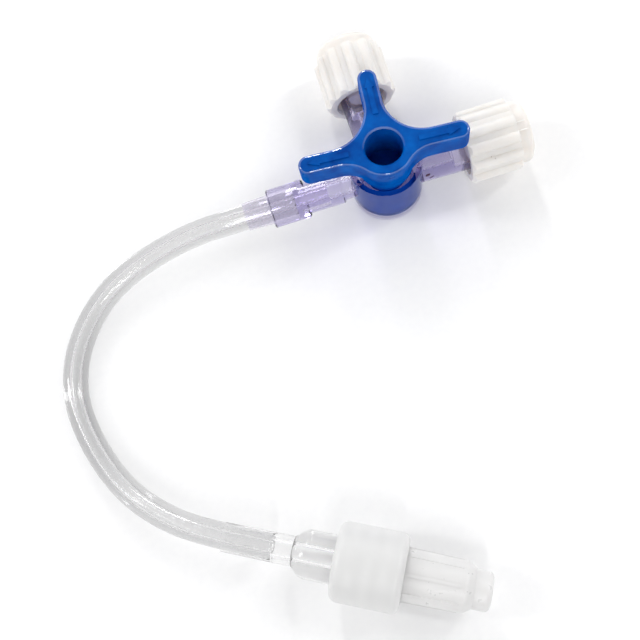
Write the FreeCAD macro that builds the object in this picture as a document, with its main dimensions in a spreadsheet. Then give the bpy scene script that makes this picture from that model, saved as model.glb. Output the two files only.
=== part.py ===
import FreeCAD, Part
import math
import os
import re
import Sketcher

# Three-way stopcock with a short extension tube, in millimetres.
# The barrel stands on its base at the origin, Z runs up the barrel, the two
# capped luer ports point along +X and +Y, and the tube leaves along -X.

doc = FreeCAD.newDocument("three_way_stopcock")

SIZES = {
    # Barrel of the clear body
    "barrel_radius": 5.8,
    "barrel_height": 10.9,
    "barrel_edge": 0.25,
    "mouth_lead": 0.7,
    "recess_depth": 1.2,
    "recess_wall": 0.75,
    "port_height": 5.95,
    # Female luer ports, which take the caps
    "port_radius": 3.35,
    "port_root_radius": 2.98,
    "port_taper_end": 12.5,
    "port_reach": 19.2,
    "port_edge": 0.25,
    "luer_mouth_radius": 2.15,
    "luer_slope": 0.03,
    "luer_depth": 8.5,
    "flow_radius": 1.1,
    "lug_radius": 3.9,
    "lug_length": 1.0,
    "lug_angle": 60,
    # Tail port, which takes the tube adaptor
    "neck_radius": 2.15,
    "neck_length": 7.2,
    "tail_radius": 2.55,
    "tail_reach": 14.4,
    "tail_edge": 0.35,
    "tail_lug_radius": 3.2,
    "tail_lug_length": 1.2,
    "tail_lug_angle": 110,
    "socket_radius": 1.7,
    "socket_depth": 4.6,
    # Blue handle and plug
    "plug_radius": 4.3,
    "plug_clearance": 0.05,
    "plug_rise": 0.25,
    "snap_width": 0.42,
    "snap_length": 0.85,
    "channel_radius": 1.05,
    "handle_gap": 1.2,
    "handle_thickness": 4.3,
    "hub_radius": 4.65,
    "arm_half_width": 1.48,
    "arm_reach": 11.7,
    "web_radius": 6.3,
    "hub_fillet": 5.0,
    "handle_round": 0.45,
    "handle_under_round": 0.2,
    "hole_radius": 2.96,
    "hole_depth": 8.0,
    "hole_rim": 0.25,
    "handle_turn": -4.5,
    # Raised arrow on each arm
    "arrow_start": 5.4,
    "arrow_neck": 9.9,
    "arrow_point": 11.7,
    "arrow_half_shaft": 0.4,
    "arrow_half_head": 0.72,
    "arrow_height": 0.25,
    # White luer cap
    "line_seat_gap": 0.1,
    "side_seat_gap": 0.45,
    "cap_depth": 6.55,
    "cap_skirt_length": 8.2,
    "cap_boss_length": 2.3,
    "cap_radius": 5.8,
    "cap_root": 5.25,
    "cap_rib_radius": 0.95,
    "cap_rib_count": 12,
    "cap_chamfer": 0.5,
    "cap_bore_radius": 4.2,
    "cap_boss_radius": 4.95,
    "cap_boss_round": 1.1,
    "cone_clearance": 0.05,
    "post_length": 6.0,
    "cap_dish_radius": 3.2,
    "cap_dish_depth": 2.2,
    "cap_core_radius": 1.0,
    "cap_core_depth": 5.0,
    # Tube adaptor
    "adaptor_radius": 3.1,
    "adaptor_length": 4.95,
    "adaptor_edge": 0.15,
    "sleeve_root_radius": 2.36,
    "sleeve_mouth_radius": 2.22,
    "sleeve_length": 4.15,
    "adaptor_stop": 0.8,
    "bond_gap": 0.03,
    # Extension tube
    "tube_radius": 2.0,
    "tube_bore_radius": 0.7,
    "tube_lead": 1.0,
    # Male connector at the far end, along its own axis from its tube mouth
    "connector_x": -39.97,
    "connector_y": -47.34,
    "connector_heading": -27.9,
    "socket_length": 7.6,
    "grip_mouth_radius": 2.18,
    "grip_root_radius": 2.22,
    "grip_length": 10.6,
    "shoulder_length": 1.55,
    "shoulder_round": 2.3,
    "stem_radius": 3.62,
    "stem_end": 18.8,
    "waist_radius": 2.65,
    "bead_radius": 2.95,
    "bead_length": 0.7,
    "male_tip_radius": 1.97,
    "male_length": 8.4,
    "male_bore_radius": 1.0,
    # Turning lock collar
    "lock_radius": 5.87,
    "lock_start": 16.9,
    "lock_length": 10.3,
    "lock_round": 1.2,
    "lock_thread_radius": 4.2,
    "lock_lip_length": 1.4,
    "lock_clearance": 0.08,
    # Tip cap over the male cone
    "tip_start": 21.9,
    "tip_shoulder": 36.1,
    "tip_mouth_radius": 3.95,
    "tip_root_radius": 3.7,
    "tip_slope_length": 1.1,
    "tip_boss_radius": 2.9,
    "tip_end": 39.8,
    "tip_shoulder_round": 0.8,
    "tip_boss_round": 0.9,
    "tip_bore_clearance": 0.06,
    "tip_bore_depth": 10.5,
    "tip_rib_count": 8,
    "tip_rib_height": 0.1,
    "tip_rib_width": 0.5,
}

# Corners of the tube's route between its two sockets, chosen by hand.
TUBE_CORNERS = [
    (-33.9, 0.1, 5.6),
    (-45.4, -2.4, 3.9),
    (-52.7, -7.1, 2.2),
    (-57.3, -14.5, 2.0),
    (-58.1, -23.1, 2.0),
    (-54.4, -34.5, 2.9),
    (-48.1, -42.1, 5.0),
]

sheet = doc.addObject("Spreadsheet::Sheet", "Sizes")
for row, (alias, value) in enumerate(SIZES.items(), start=1):
    sheet.set(f"A{row}", alias)
    sheet.set(f"B{row}", str(value))
    sheet.setAlias(f"B{row}", alias)
doc.recompute()


def size(alias):
    return float(sheet.get(alias))


def bound(formula):
    # Every word of a formula names a cell of the sheet.
    return re.sub(r"[a-z][a-z_]*", lambda word: "Sizes." + word.group(), formula)


def new_body(label, along="0", across="0", up="0", turn="0"):
    body = doc.addObject("PartDesign::Body", label)
    body.Label = label
    body.setExpression("Placement.Base.x", bound(along))
    body.setExpression("Placement.Base.y", bound(across))
    body.setExpression("Placement.Base.z", bound(up))
    body.Placement.Rotation = FreeCAD.Rotation(FreeCAD.Vector(0, 0, 1), 0)
    body.setExpression("Placement.Rotation.Angle", bound(turn))
    return body


def origin_part(body, role):
    for feature in body.Origin.OriginFeatures:
        if feature.Role == role:
            return feature


def new_sketch(body, name, plane, lift="0"):
    sketch = body.newObject("Sketcher::SketchObject", name)
    sketch.AttachmentSupport = (origin_part(body, plane), [""])
    sketch.MapMode = "FlatFace"
    sketch.setExpression("AttachmentOffset.Base.z", bound(lift))
    return sketch


def fix_size(sketch, constraint, name, formula):
    number = sketch.addConstraint(constraint)
    sketch.renameConstraint(number, name)
    sketch.setExpression("Constraints." + name, bound(formula))


def fix_point(sketch, item, end, across, up):
    here = sketch.getPoint(item, end)
    for kind, axis, now, formula in (("DistanceX", -2, here.x, across), ("DistanceY", -1, here.y, up)):
        if formula == "0":
            sketch.addConstraint(Sketcher.Constraint("PointOnObject", item, end, axis))
        else:
            constraint = Sketcher.Constraint(kind, -1, 1, item, end, now)
            fix_size(sketch, constraint, f"{kind}_{item}_{end}", formula)


def outline(sketch, corners):
    # A closed outline whose corners are pairs of formulas.
    count = len(corners)
    ring = []
    for index in range(count):
        turn = 2 * math.pi * index / count
        ring.append(FreeCAD.Vector(math.cos(turn), math.sin(turn), 0))
    sketch.addGeometry([Part.LineSegment(ring[i], ring[(i + 1) % count]) for i in range(count)], False)
    sketch.addConstraint(
        [Sketcher.Constraint("Coincident", i, 2, (i + 1) % count, 1) for i in range(count)]
    )
    for index, (across, up) in enumerate(corners):
        fix_point(sketch, index, 1, across, up)


def disc(sketch, radius, across="0", up="0"):
    sketch.addGeometry(Part.Circle(FreeCAD.Vector(0.5, 0.5, 0), FreeCAD.Vector(0, 0, 1), 1), False)
    fix_size(sketch, Sketcher.Constraint("Radius", 0, 1), "radius", radius)
    fix_point(sketch, 0, 3, across, up)


def turned(body, kind, name, sketch, axis, angle="360"):
    feature = body.newObject("PartDesign::" + kind, name)
    feature.Profile = sketch
    feature.ReferenceAxis = (sketch, [axis])
    feature.Midplane = True
    feature.setExpression("Angle", bound(angle))
    return feature


def straight(body, kind, name, sketch, length, both_ways=False, reverse=False):
    feature = body.newObject("PartDesign::" + kind, name)
    feature.Profile = sketch
    feature.Midplane = both_ways
    feature.Reversed = reverse
    feature.setExpression("Length", bound(length))
    return feature


def ring_pattern(body, name, feature, axis, angle, count):
    pattern = body.newObject("PartDesign::PolarPattern", name)
    pattern.Originals = [feature]
    pattern.Axis = (origin_part(body, axis), [""])
    pattern.setExpression("Angle", bound(angle))
    pattern.setExpression("Occurrences", bound(count))
    body.Tip = pattern
    return pattern


def edges_at(shape, test):
    return [f"Edge{i}" for i, edge in enumerate(shape.Edges, start=1) if test(edge)]


def ring_edge(axis_place, radius, axis):
    # Finds the full circle of this radius at this place along the axis.
    def test(edge):
        if edge.Curve.TypeId != "Part::GeomCircle":
            return False
        centre = edge.Curve.Center
        same_place = abs(getattr(centre, axis) - axis_place) < 1e-3
        return same_place and abs(edge.Curve.Radius - radius) < 1e-3

    return test


def softened(body, kind, name, base, edges, amount_name, amount):
    feature = body.newObject("PartDesign::" + kind, name)
    feature.Base = (base, edges)
    feature.setExpression(amount_name, bound(amount))
    return feature


def stopcock_body():
    body = new_body("stopcock_body")
    shell = new_sketch(body, "barrel_profile", "XZ_Plane")
    outline(shell, [
        ("0", "0"),
        ("barrel_radius - barrel_edge", "0"),
        ("barrel_radius", "barrel_edge"),
        ("barrel_radius", "barrel_height"),
        ("0", "barrel_height"),
    ])
    turned(body, "Revolution", "barrel", shell, "V_Axis")
    for side, axis in (("line", "H_Axis"), ("side", "V_Axis")):
        luer_port(body, side, axis)
    tail_port(body)
    bore = new_sketch(body, "plug_bore_profile", "XZ_Plane")
    outline(bore, [
        ("0", "0"),
        ("barrel_radius - recess_wall", "0"),
        ("barrel_radius - recess_wall", "recess_depth"),
        ("plug_radius + plug_clearance", "recess_depth"),
        ("plug_radius + plug_clearance", "barrel_height - mouth_lead"),
        ("plug_radius + plug_clearance + mouth_lead", "barrel_height"),
        ("0", "barrel_height"),
    ])
    turned(body, "Groove", "plug_bore", bore, "V_Axis")
    for side, axis in (("line", "H_Axis"), ("side", "V_Axis")):
        luer_bore(body, side, axis)
    tail_bore(body)
    return body


def along(axis, corners):
    # Port profiles are written as (distance out, radius).
    return corners if axis == "H_Axis" else [(radius, out) for out, radius in corners]


def luer_port(body, side, axis):
    outside = new_sketch(body, side + "_port_profile", "XY_Plane", "port_height")
    outline(outside, along(axis, [
        ("0", "0"),
        ("port_reach", "0"),
        ("port_reach", "port_radius - port_edge"),
        ("port_reach - port_edge", "port_radius"),
        ("port_taper_end", "port_radius"),
        ("0", "port_root_radius"),
    ]))
    turned(body, "Revolution", side + "_port", outside, axis)
    for name, sign in (("near", ""), ("far", "-")):
        lug = new_sketch(body, f"{side}_{name}_lug_profile", "XY_Plane", "port_height")
        outline(lug, along(axis, [
            ("port_reach - lug_length", sign + "luer_mouth_radius"),
            ("port_reach", sign + "luer_mouth_radius"),
            ("port_reach", sign + "lug_radius"),
            ("port_reach - lug_length", sign + "lug_radius"),
        ]))
        turned(body, "Revolution", f"{side}_{name}_lug", lug, axis, "lug_angle")


def luer_bore(body, side, axis):
    inside = new_sketch(body, side + "_bore_profile", "XY_Plane", "port_height")
    outline(inside, along(axis, [
        ("0", "0"),
        ("port_reach", "0"),
        ("port_reach", "luer_mouth_radius"),
        ("port_reach - luer_depth", "luer_mouth_radius - luer_slope * luer_depth"),
        ("port_reach - luer_depth", "flow_radius"),
        ("0", "flow_radius"),
    ]))
    turned(body, "Groove", side + "_bore", inside, axis)


def tail_port(body):
    outside = new_sketch(body, "tail_profile", "XY_Plane", "port_height")
    outline(outside, [
        ("0", "0"),
        ("-tail_reach", "0"),
        ("-tail_reach", "tail_radius"),
        ("-neck_length - tail_edge", "tail_radius"),
        ("-neck_length", "tail_radius - tail_edge"),
        ("-neck_length", "neck_radius"),
        ("0", "neck_radius"),
    ])
    turned(body, "Revolution", "tail", outside, "H_Axis")
    for name, sign in (("left", ""), ("right", "-")):
        lug = new_sketch(body, f"tail_{name}_lug_profile", "XY_Plane", "port_height")
        outline(lug, [
            ("-tail_reach", sign + "socket_radius"),
            ("-tail_reach", sign + "tail_lug_radius"),
            ("-tail_reach + tail_lug_length - tail_edge", sign + "tail_lug_radius"),
            ("-tail_reach + tail_lug_length", sign + f"(tail_lug_radius - tail_edge)"),
            ("-tail_reach + tail_lug_length", sign + "socket_radius"),
        ])
        turned(body, "Revolution", f"tail_{name}_lug", lug, "H_Axis", "tail_lug_angle")


def tail_bore(body):
    inside = new_sketch(body, "tail_bore_profile", "XY_Plane", "port_height")
    outline(inside, [
        ("0", "0"),
        ("-tail_reach", "0"),
        ("-tail_reach", "socket_radius"),
        ("-tail_reach + socket_depth", "socket_radius"),
        ("-tail_reach + socket_depth", "flow_radius"),
        ("0", "flow_radius"),
    ])
    turned(body, "Groove", "tail_bore", inside, "H_Axis")


def handle_outline(sketch):
    # T-shaped plan: three round-ended arms, large webs beside the middle arm
    # and smaller ones that run into the round back of the hub.
    half = size("arm_half_width")
    reach = size("arm_reach")
    web = size("web_radius")
    fillet = size("hub_fillet")
    hub = size("hub_radius")
    foot = math.sqrt((hub + fillet) ** 2 - (half + fillet) ** 2)
    lean = math.atan2(half + fillet, foot)
    quarter = math.pi / 2

    def line(x1, y1, x2, y2):
        return Part.LineSegment(FreeCAD.Vector(x1, y1, 0), FreeCAD.Vector(x2, y2, 0))

    def arc(x, y, radius, start, end):
        circle = Part.Circle(FreeCAD.Vector(x, y, 0), FreeCAD.Vector(0, 0, 1), radius)
        return Part.ArcOfCircle(circle, start, end)

    inner = half + web
    sketch.addGeometry([
        line(foot, -half, reach, -half),
        arc(reach, 0, half, -quarter, quarter),
        line(reach, half, inner, half),
        arc(inner, inner, web, 2 * quarter, 3 * quarter),
        line(half, inner, half, reach),
        arc(0, reach, half, 0, 2 * quarter),
        line(-half, reach, -half, inner),
        arc(-inner, inner, web, 3 * quarter, 4 * quarter),
        line(-inner, half, -reach, half),
        arc(-reach, 0, half, quarter, 3 * quarter),
        line(-reach, -half, -foot, -half),
        arc(-foot, -half - fillet, fillet, lean, quarter),
        arc(0, 0, hub, 2 * quarter + lean, 4 * quarter - lean),
        arc(foot, -half - fillet, fillet, quarter, 2 * quarter - lean),
    ], False)
    smooth_joins = [
        (0, 2, 1, 1), (1, 2, 2, 1), (2, 2, 3, 2), (3, 1, 4, 1), (4, 2, 5, 1),
        (5, 2, 6, 1), (6, 2, 7, 2), (7, 1, 8, 1), (8, 2, 9, 1), (9, 2, 10, 1),
        (10, 2, 11, 2), (11, 1, 12, 1), (12, 2, 13, 2), (13, 1, 0, 1),
    ]
    sketch.addConstraint([Sketcher.Constraint("Tangent", *join) for join in smooth_joins])
    sketch.addConstraint([Sketcher.Constraint("Horizontal", item) for item in (0, 2, 8, 10)])
    sketch.addConstraint([Sketcher.Constraint("Vertical", item) for item in (4, 6)])
    fix_point(sketch, 1, 3, "arm_reach", "0")
    fix_point(sketch, 5, 3, "0", "arm_reach")
    fix_point(sketch, 9, 3, "-arm_reach", "0")
    fix_point(sketch, 12, 3, "0", "0")
    radii = {1: "arm_half_width", 5: "arm_half_width", 9: "arm_half_width", 3: "web_radius",
             7: "web_radius", 11: "hub_fillet", 13: "hub_fillet", 12: "hub_radius"}
    for item, formula in radii.items():
        now = sketch.Geometry[item].Radius
        fix_size(sketch, Sketcher.Constraint("Radius", item, now), f"radius_{item}", formula)


def handle_core():
    underside = "barrel_height + handle_gap"
    top = underside + " + handle_thickness"
    body = new_body("handle_core", turn="handle_turn")
    plan = new_sketch(body, "handle_plan", "XY_Plane", underside)
    handle_outline(plan)
    plate = straight(body, "Pad", "handle_plate", plan, "handle_thickness")
    doc.recompute()
    flat = [f"Face{i}" for i, face in enumerate(plate.Shape.Faces, start=1)
            if abs(face.CenterOfMass.z - plate.Shape.BoundBox.ZMax) < 1e-3]
    softened(body, "Fillet", "top_edge", plate, flat, "Radius", "handle_round")
    doc.recompute()
    rounded = body.Tip
    flat = [f"Face{i}" for i, face in enumerate(rounded.Shape.Faces, start=1)
            if abs(face.CenterOfMass.z - rounded.Shape.BoundBox.ZMin) < 1e-3]
    softened(body, "Fillet", "under_edge", rounded, flat, "Radius", "handle_under_round")
    plug = new_sketch(body, "plug_profile", "XZ_Plane")
    outline(plug, [
        ("0", "plug_rise"),
        ("plug_radius", "plug_rise"),
        ("plug_radius + snap_width", "plug_rise + snap_width"),
        ("plug_radius + snap_width", "plug_rise + snap_length"),
        ("plug_radius", "plug_rise + snap_length"),
        ("plug_radius", underside + " + handle_round"),
        ("0", underside + " + handle_round"),
    ])
    turned(body, "Revolution", "plug", plug, "V_Axis")
    arrow = new_sketch(body, "arrow_plan", "XY_Plane", top)
    outline(arrow, [
        ("arrow_start", "-arrow_half_shaft"),
        ("arrow_neck", "-arrow_half_shaft"),
        ("arrow_neck", "-arrow_half_head"),
        ("arrow_point", "0"),
        ("arrow_neck", "arrow_half_head"),
        ("arrow_neck", "arrow_half_shaft"),
        ("arrow_start", "arrow_half_shaft"),
    ])
    mark = straight(body, "Pad", "arrow", arrow, "arrow_height")
    ring_pattern(body, "arrows", mark, "Z_Axis", "180", "3")
    well = new_sketch(body, "well_profile", "XZ_Plane")
    outline(well, [
        ("0", top + " - hole_depth"),
        ("hole_radius", top + " - hole_depth"),
        ("hole_radius", top + " - hole_rim"),
        ("hole_radius + hole_rim", top),
        ("0", top),
    ])
    turned(body, "Groove", "well", well, "V_Axis")
    through = new_sketch(body, "through_channel_section", "YZ_Plane")
    disc(through, "channel_radius", "0", "port_height")
    straight(body, "Pocket", "through_channel", through, "4 * plug_radius", both_ways=True)
    branch = new_sketch(body, "branch_channel_section", "XZ_Plane")
    disc(branch, "channel_radius", "0", "port_height")
    straight(body, "Pocket", "branch_channel", branch, "2 * plug_radius")
    return body


def luer_cap(label, seat_gap, turn):
    # The cap's own X runs from the barrel axis out through the port. The cap is
    # placed by the gap between its floor and the port's end.
    body = new_body(label, up="port_height", turn=turn)
    floor = f"port_reach + {seat_gap}"
    mouth = f"{floor} - cap_depth"
    step = f"{mouth} + cap_skirt_length"
    end = f"{step} + cap_boss_length"
    post_at_floor = "luer_mouth_radius - cone_clearance"
    profile = new_sketch(body, "cap_profile", "XY_Plane")
    outline(profile, [
        (mouth, "0"),
        (mouth, "cap_root"),
        (step, "cap_root"),
        (step, "cap_boss_radius"),
        (end, "cap_boss_radius"),
        (end, "0"),
    ])
    shell = turned(body, "Revolution", "cap_shell", profile, "H_Axis")
    doc.recompute()
    far_end = size("port_reach") + size(seat_gap) - size("cap_depth")
    far_end += size("cap_skirt_length") + size("cap_boss_length")
    rim = ring_edge(far_end, size("cap_boss_radius"), "x")
    softened(body, "Fillet", "boss_edge", shell, edges_at(shell.Shape, rim), "Radius", "cap_boss_round")
    section = new_sketch(body, "rib_section", "YZ_Plane", mouth)
    disc(section, "cap_rib_radius", "0", "cap_radius - cap_rib_radius")
    rib = straight(body, "Pad", "rib", section, "cap_skirt_length")
    ring_pattern(body, "ribs", rib, "X_Axis", "360", "cap_rib_count")
    trim = new_sketch(body, "mouth_trim_profile", "XY_Plane")
    outline(trim, [
        (mouth, "cap_radius - cap_chamfer"),
        (f"{mouth} + 2 * cap_chamfer", "cap_radius + cap_chamfer"),
        (mouth, "cap_radius + cap_chamfer"),
    ])
    turned(body, "Groove", "mouth_trim", trim, "H_Axis")
    # What this hollow leaves on the axis is the tapered post that seals the port.
    hollow = new_sketch(body, "hollow_profile", "XY_Plane")
    outline(hollow, [
        (mouth, "0"),
        (mouth, "cap_bore_radius"),
        (floor, "cap_bore_radius"),
        (floor, post_at_floor),
        (f"{floor} - post_length", f"{post_at_floor} - luer_slope * post_length"),
        (f"{floor} - post_length", "0"),
    ])
    turned(body, "Groove", "hollow", hollow, "H_Axis")
    core = new_sketch(body, "core_profile", "XY_Plane")
    outline(core, [
        (f"{end} - cap_dish_depth - cap_core_depth", "0"),
        (f"{end} - cap_dish_depth - cap_core_depth", "cap_core_radius"),
        (f"{end} - cap_dish_depth", "cap_core_radius"),
        (f"{end} - cap_dish_depth", "cap_dish_radius"),
        (end, "cap_dish_radius"),
        (end, "0"),
    ])
    turned(body, "Groove", "core", core, "H_Axis")
    return body


def tube_adaptor():
    # The adaptor's own X runs from the barrel axis out through the tail.
    body = new_body("tube_adaptor", up="port_height", turn="180")
    bottom = "tail_reach + adaptor_length"
    mouth = bottom + " + sleeve_length"
    outside = new_sketch(body, "adaptor_profile", "XY_Plane")
    outline(outside, [
        ("tail_reach", "0"),
        ("tail_reach", "adaptor_radius"),
        (bottom + " - adaptor_edge", "adaptor_radius"),
        (bottom, "adaptor_radius - adaptor_edge"),
        (bottom, "sleeve_root_radius"),
        (mouth, "sleeve_mouth_radius"),
        (mouth, "0"),
    ])
    turned(body, "Revolution", "adaptor", outside, "H_Axis")
    spigot = new_sketch(body, "spigot_profile", "XY_Plane")
    outline(spigot, [
        ("tail_reach - socket_depth + bond_gap", "0"),
        ("tail_reach - socket_depth + bond_gap", "socket_radius - bond_gap"),
        ("tail_reach", "socket_radius - bond_gap"),
        ("tail_reach", "0"),
    ])
    turned(body, "Revolution", "spigot", spigot, "H_Axis")
    bore = new_sketch(body, "adaptor_bore_profile", "XY_Plane")
    outline(bore, [
        ("tail_reach - socket_depth", "0"),
        ("tail_reach - socket_depth", "tube_bore_radius"),
        ("tail_reach + adaptor_stop", "tube_bore_radius"),
        ("tail_reach + adaptor_stop", "tube_radius + bond_gap"),
        (mouth, "tube_radius + bond_gap"),
        (mouth, "0"),
    ])
    turned(body, "Groove", "adaptor_bore", bore, "H_Axis")
    return body


def connector_frame(label):
    # These pieces share the far connector's axis, from its tube mouth outwards.
    return new_body(label, "connector_x", "connector_y", "lock_radius", "connector_heading")


def male_connector():
    body = connector_frame("male_connector")
    step = "stem_end + lock_lip_length + 2 * lock_clearance"
    cone = step + " + bead_length"
    tip = cone + " + male_length"
    outside = new_sketch(body, "connector_profile", "XY_Plane")
    outline(outside, [
        ("0", "0"),
        ("0", "grip_mouth_radius"),
        ("grip_length", "grip_root_radius"),
        ("grip_length + shoulder_length", "stem_radius"),
        ("stem_end", "stem_radius"),
        ("stem_end", "waist_radius"),
        (step, "waist_radius"),
        (step, "bead_radius"),
        (cone, "male_tip_radius + luer_slope * male_length"),
        (tip, "male_tip_radius"),
        (tip, "0"),
    ])
    turned(body, "Revolution", "connector", outside, "H_Axis")
    bore = new_sketch(body, "connector_bore_profile", "XY_Plane")
    outline(bore, [
        ("0", "0"),
        ("0", "tube_radius + bond_gap"),
        ("socket_length", "tube_radius + bond_gap"),
        ("socket_length", "male_bore_radius"),
        (tip, "male_bore_radius"),
        (tip, "0"),
    ])
    turned(body, "Groove", "connector_bore", bore, "H_Axis")
    doc.recompute()
    bored = body.Tip
    crest = ring_edge(size("grip_length") + size("shoulder_length"), size("stem_radius"), "x")
    softened(body, "Fillet", "shoulder_round", bored, edges_at(bored.Shape, crest), "Radius", "shoulder_round")
    return body


def lock_collar():
    body = connector_frame("lock_collar")
    lip = "stem_end + lock_clearance"
    profile = new_sketch(body, "collar_profile", "XY_Plane")
    outline(profile, [
        ("lock_start", "stem_radius + lock_clearance"),
        ("lock_start", "lock_radius"),
        ("lock_start + lock_length", "lock_radius"),
        ("lock_start + lock_length", "lock_thread_radius"),
        (lip + " + lock_lip_length", "lock_thread_radius"),
        (lip + " + lock_lip_length", "waist_radius + lock_clearance"),
        (lip, "waist_radius + lock_clearance"),
        (lip, "stem_radius + lock_clearance"),
    ])
    turned(body, "Revolution", "collar", profile, "H_Axis")
    doc.recompute()
    start = size("lock_start")
    ends = (start, start + size("lock_length"))
    rims = []
    for place in ends:
        rims += edges_at(body.Tip.Shape, ring_edge(place, size("lock_radius"), "x"))
    softened(body, "Fillet", "collar_rims", body.Tip, rims, "Radius", "lock_round")
    return body


def tip_cap():
    body = connector_frame("tip_cap")
    mouth_bore = "male_tip_radius + luer_slope * male_length + tip_bore_clearance"
    floor = "tip_start + tip_bore_depth"
    shoulder = "tip_shoulder + tip_slope_length"
    profile = new_sketch(body, "tip_cap_profile", "XY_Plane")
    outline(profile, [
        ("tip_start", mouth_bore),
        ("tip_start", "tip_mouth_radius"),
        ("tip_shoulder", "tip_root_radius"),
        (shoulder, "tip_boss_radius"),
        ("tip_end", "tip_boss_radius"),
        ("tip_end", "0"),
        (floor, "0"),
        (floor, mouth_bore + " - luer_slope * tip_bore_depth"),
    ])
    turned(body, "Revolution", "tip_shell", profile, "H_Axis")
    doc.recompute()
    shell = body.Tip
    crest = edges_at(shell.Shape, ring_edge(size("tip_shoulder"), size("tip_root_radius"), "x"))
    softened(body, "Fillet", "tip_crest", shell, crest, "Radius", "tip_shoulder_round")
    doc.recompute()
    crested = body.Tip
    nose = edges_at(crested.Shape, ring_edge(size("tip_end"), size("tip_boss_radius"), "x"))
    softened(body, "Fillet", "tip_nose", crested, nose, "Radius", "tip_boss_round")
    ridge = new_sketch(body, "ridge_profile", "XY_Plane")
    outline(ridge, [
        ("tip_start", "tip_mouth_radius - tip_rib_height"),
        ("tip_start", "tip_mouth_radius + tip_rib_height"),
        ("tip_shoulder - tip_shoulder_round", "tip_root_radius + tip_rib_height"),
        ("tip_shoulder - tip_shoulder_round", "tip_root_radius - tip_rib_height"),
    ])
    rib = straight(body, "Pad", "ridge", ridge, "tip_rib_width", both_ways=True)
    ring_pattern(body, "ridges", rib, "X_Axis", "360", "tip_rib_count")
    return body


def tube_route():
    # Every corner of the centre line, with the straight ends in their sockets.
    height = size("port_height")
    inner = size("tail_reach") + size("adaptor_stop")
    outer = size("tail_reach") + size("adaptor_length") + size("sleeve_length") + size("tube_lead")
    heading = math.radians(size("connector_heading"))
    forward = FreeCAD.Vector(math.cos(heading), math.sin(heading), 0)
    mouth = FreeCAD.Vector(size("connector_x"), size("connector_y"), size("lock_radius"))
    route = [FreeCAD.Vector(-inner, 0, height), FreeCAD.Vector(-outer, 0, height)]
    route += [FreeCAD.Vector(*corner) for corner in TUBE_CORNERS]
    route += [mouth - forward * size("tube_lead"), mouth + forward * size("socket_length")]
    return route


def bend_radius(before, corner, after):
    turn = (corner - before).getAngle(after - corner)
    shorter = min((corner - before).Length, (after - corner).Length)
    return 0.45 * shorter / math.tan(turn / 2)


def rounded_path(route):
    edges = []
    start = route[0]
    radii = []
    for before, corner, after in zip(route, route[1:], route[2:]):
        arriving = (corner - before).normalize()
        leaving = (after - corner).normalize()
        radius = bend_radius(before, corner, after)
        radii.append(radius)
        turn = arriving.getAngle(leaving)
        reach = radius * math.tan(turn / 2)
        first = corner - arriving * reach
        last = corner + leaving * reach
        inward = (leaving - arriving).normalize()
        middle = corner + inward * (radius / math.cos(turn / 2) - radius)
        edges.append(Part.LineSegment(start, first).toShape())
        edges.append(Part.Arc(first, middle, last).toShape())
        start = last
    edges.append(Part.LineSegment(start, route[-1]).toShape())
    print("bend radii of the tube:", " ".join(f"{radius:.1f}" for radius in radii))
    return Part.Wire(edges)


def tube_sweep(name, path, route, radius):
    ring = doc.addObject("Part::Circle", name + "_ring")
    ring.setExpression("Radius", bound(radius))
    ring.Placement = FreeCAD.Placement(
        route[0], FreeCAD.Rotation(FreeCAD.Vector(0, 0, 1), route[1] - route[0])
    )
    sweep = doc.addObject("Part::Sweep", name)
    sweep.Sections = [ring]
    sweep.Spine = (path, [f"Edge{i}" for i in range(1, len(path.Shape.Edges) + 1)])
    sweep.Solid = True
    sweep.Frenet = False
    return sweep


def extension_tube():
    route = tube_route()
    path = doc.addObject("Part::Feature", "tube_path")
    path.Shape = rounded_path(route)
    tube = doc.addObject("Part::Cut", "extension_tube")
    tube.Label = "extension_tube"
    tube.Base = tube_sweep("tube_outside", path, route, "tube_radius")
    tube.Tool = tube_sweep("tube_inside", path, route, "tube_bore_radius")
    doc.recompute()
    section = math.pi * (size("tube_radius") ** 2 - size("tube_bore_radius") ** 2)
    length = path.Shape.Length
    print(f"tube length {length:.1f}, volume {tube.Shape.Volume:.1f}, section x length {section * length:.1f}")
    return tube


pieces = [
    stopcock_body(),
    handle_core(),
    luer_cap("line_port_cap", "line_seat_gap", "0"),
    luer_cap("side_port_cap", "side_seat_gap", "90"),
    tube_adaptor(),
    extension_tube(),
    male_connector(),
    lock_collar(),
    tip_cap(),
]
doc.recompute()

for item in doc.Objects:
    if "Invalid" in item.State or "Error" in item.State:
        raise RuntimeError(f"{item.Label} did not rebuild: {item.State}")

os.makedirs("parts", exist_ok=True)
for piece in pieces:
    shape = piece.Shape
    if shape.isNull() or not shape.isValid():
        raise RuntimeError(f"{piece.Label} has no valid shape")
    shape.exportStep(f"parts/{piece.Label}.step")
    box = shape.BoundBox
    print(
        f"{piece.Label}: {len(shape.Solids)} solid, {shape.Volume:.1f} mm3, "
        f"x {box.XMin:.2f}..{box.XMax:.2f}, y {box.YMin:.2f}..{box.YMax:.2f}, z {box.ZMin:.2f}..{box.ZMax:.2f}"
    )
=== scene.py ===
# %% [markdown]
# # A three-way stopcock on a pale table
#
# The object is a small clear plastic valve. A blue handle turns in a clear
# violet-tinted barrel, two white caps close its side ports, and a short clear
# tube leads to a second connector with a milky lock collar and a tip cap.
# The construction model gives every part its place and size, so this lesson
# is about the camera, the tube, the small moulded details, the plastics and
# the light.

# %% Load the frame
import bmesh
import bpy
import math
from mathutils import Matrix, Vector


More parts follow.
